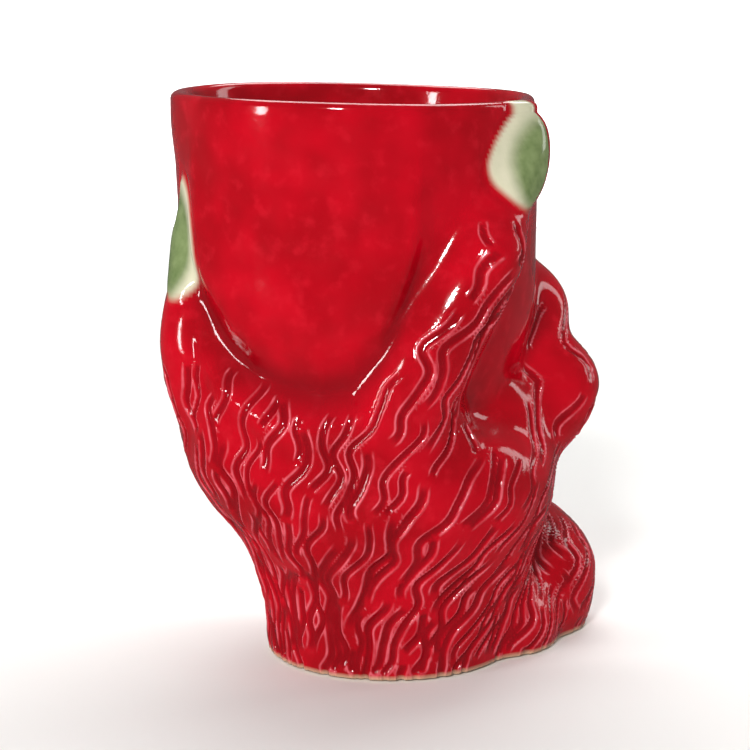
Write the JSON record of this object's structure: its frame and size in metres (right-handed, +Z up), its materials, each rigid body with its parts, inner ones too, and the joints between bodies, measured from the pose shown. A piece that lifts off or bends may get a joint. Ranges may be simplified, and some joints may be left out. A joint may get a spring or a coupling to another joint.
{
  "type": "ceramic hand cup",
  "caption": "Glazed ceramic cup or pen pot, cast in one piece as a smooth round cup gripped from below by a rough-skinned hand with painted nails",
  "frame": {"origin": "centre of the body's box, on the surface it stands on", "axes": "+Z up out of the cup's mouth, the longest side; the broad palm side faces -Y and the thumb is on the -X side"},
  "size_m": [0.1099, 0.1033, 0.1409],
  "materials": {
    "red_glaze": "glossy transparent red glaze over carved pale clay, with green and cream painted nails and a bare rubbed edge at the foot"
  },
  "bodies": {
    "root": {"hand_cup": "red_glaze"}
  },
  "joints": []
}
